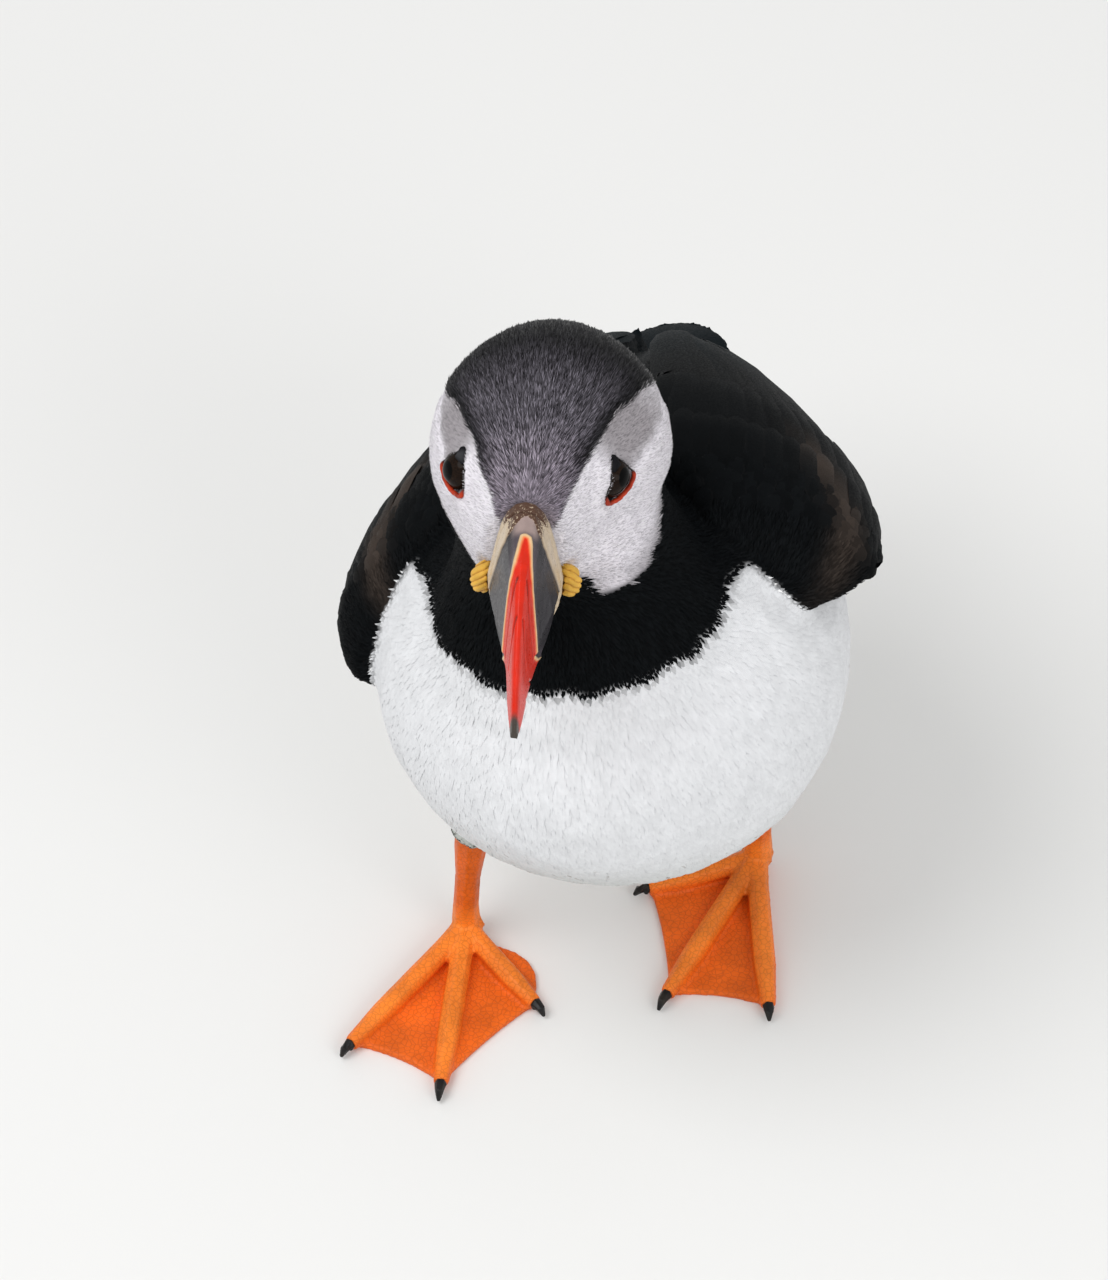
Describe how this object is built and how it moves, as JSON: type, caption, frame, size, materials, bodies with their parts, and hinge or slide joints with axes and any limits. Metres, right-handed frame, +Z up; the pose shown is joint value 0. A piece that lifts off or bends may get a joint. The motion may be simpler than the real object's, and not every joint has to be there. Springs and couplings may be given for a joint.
{
  "type": "atlantic puffin",
  "caption": "Life-size Atlantic puffin standing in mid-step with its bill closed, a still model of the whole bird.",
  "frame": {"origin": "on the floor, under the middle of the bird's outline box", "axes": "+Z up; the bird faces -Y and its left side is +X"},
  "size_m": [0.1158, 0.2056, 0.2014],
  "materials": {
    "plumage_black": "soft dark feathers with a faint sheen",
    "plumage_white": "soft white feathers",
    "leg_skin": "scaly orange skin",
    "claw": "worn black horn",
    "bill_horn_red": "polished red horn with shallow grooves",
    "bill_horn_slate": "slate grey horn",
    "bill_rim": "speckled cream skin",
    "rosette": "wrinkled yellow skin",
    "eye": "wet dark brown eye"
  },
  "bodies": {
    "root": {"head": "plumage_white", "trunk": "plumage_white", "thigh_left": "plumage_white", "thigh_right": "plumage_white", "neck": "plumage_black", "mantle": "plumage_black", "tail": "plumage_black", "wing_left": "plumage_black", "wing_right": "plumage_black", "wing_tip_left": "plumage_black", "wing_tip_right": "plumage_black", "leg_left": "leg_skin", "leg_right": "leg_skin", "foot_left": "leg_skin", "foot_right": "leg_skin", "claw_left_outer": "claw", "claw_left_middle": "claw", "claw_left_inner": "claw", "claw_right_outer": "claw", "claw_right_middle": "claw", "claw_right_inner": "claw", "bill_upper": "bill_horn_red", "bill_lower": "bill_horn_slate", "bill_rim": "bill_rim", "rosette_left": "rosette", "rosette_right": "rosette", "eye_left": "eye", "eye_right": "eye"}
  },
  "joints": []
}
